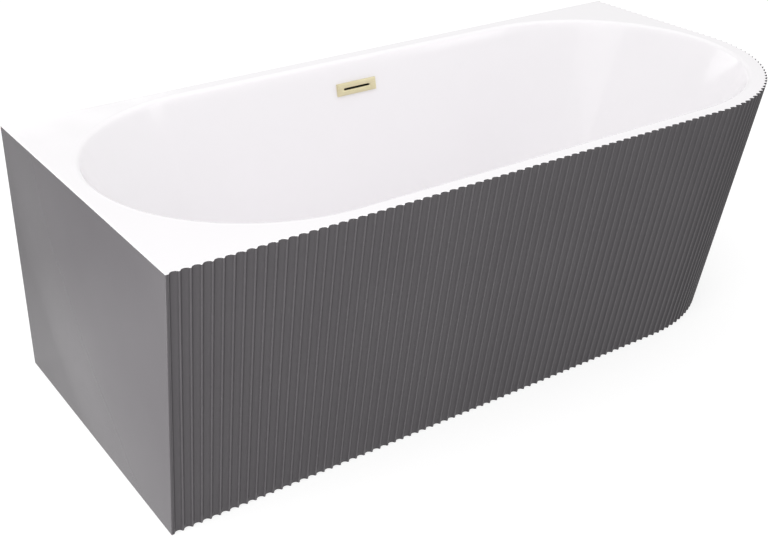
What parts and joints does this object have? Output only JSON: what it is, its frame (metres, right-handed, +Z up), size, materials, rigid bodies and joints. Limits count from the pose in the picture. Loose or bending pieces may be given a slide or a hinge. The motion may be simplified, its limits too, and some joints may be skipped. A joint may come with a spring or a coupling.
{
  "type": "corner bathtub",
  "caption": "Freestanding corner bathtub with a long oval basin and a fluted apron that turns its rounded corner, with a slotted overflow, a press plug and a steel frame on screw feet.",
  "frame": {"origin": "on the floor, under the centre of the deck's overall length and width", "axes": "+X along the bath to its rounded end, +Y to the wall behind it, +Z up"},
  "size_m": [1.7, 0.8, 0.58],
  "materials": {
    "acrylic_white": "gloss",
    "graphite": "satin gloss",
    "gold": "brushed pale gold",
    "zinc": "zinc plated",
    "paint_grey": "powder coated, satin",
    "pine": "planed, bare",
    "chipboard": "sealed with resin",
    "rubber": "matte",
    "white_plastic": "moulded, satin",
    "black_plastic": "moulded, matte"
  },
  "bodies": {
    "bath": {"bath_shell": "acrylic_white", "fluted_apron": "graphite", "end_panel": "graphite", "back_panel": "graphite", "deck_batten_left": "pine", "deck_batten_back": "pine", "corner_strip_front": "graphite", "corner_strip_back": "graphite", "corner_strip_end": "graphite", "base_board": "chipboard", "frame_rail_front": "paint_grey", "frame_rail_back": "paint_grey", "cross_member_left": "paint_grey", "cross_member_middle": "paint_grey", "cross_member_right": "paint_grey", "tube_caps": "black_plastic", "frame_bolts": "zinc", "apron_brackets": "zinc", "back_brackets": "zinc", "bracket_screws": "zinc", "weld_nuts": "zinc", "lock_nuts": "zinc", "overflow_plate": "gold", "overflow_gasket": "rubber", "overflow_body": "black_plastic", "overflow_screws": "zinc", "overflow_pipe": "white_plastic", "waste_flange": "gold", "plug_spring": "zinc", "plug_guide": "white_plastic", "waste_gasket": "rubber", "waste_body": "white_plastic", "slip_nuts": "black_plastic", "trap_body": "white_plastic", "trap_cap": "black_plastic", "outlet_pipe": "white_plastic"},
    "foot_1": {"foot_stud_1": "zinc", "foot_pad_1": "black_plastic"},
    "foot_2": {"foot_stud_2": "zinc", "foot_pad_2": "black_plastic"},
    "foot_3": {"foot_stud_3": "zinc", "foot_pad_3": "black_plastic"},
    "foot_4": {"foot_stud_4": "zinc", "foot_pad_4": "black_plastic"},
    "foot_5": {"foot_stud_5": "zinc", "foot_pad_5": "black_plastic"},
    "plug": {"plug_cap": "gold", "plug_seal": "rubber", "plug_stem": "zinc"}
  },
  "joints": [
    {"name": "foot_1_screw", "type": "slide", "parent": "bath", "child": "foot_1", "axis": [0, 0, 1], "range_m": [-0.02, 0.005]},
    {"name": "foot_2_screw", "type": "slide", "parent": "bath", "child": "foot_2", "axis": [0, 0, 1], "range_m": [-0.02, 0.005]},
    {"name": "foot_3_screw", "type": "slide", "parent": "bath", "child": "foot_3", "axis": [0, 0, 1], "range_m": [-0.02, 0.005]},
    {"name": "foot_4_screw", "type": "slide", "parent": "bath", "child": "foot_4", "axis": [0, 0, 1], "range_m": [-0.02, 0.005]},
    {"name": "foot_5_screw", "type": "slide", "parent": "bath", "child": "foot_5", "axis": [0, 0, 1], "range_m": [-0.02, 0.005]},
    {"name": "plug_lift", "type": "slide", "parent": "bath", "child": "plug", "axis": [0, 0, 1], "range_m": [0, 0.009], "deforming": ["plug_spring"]}
  ]
}
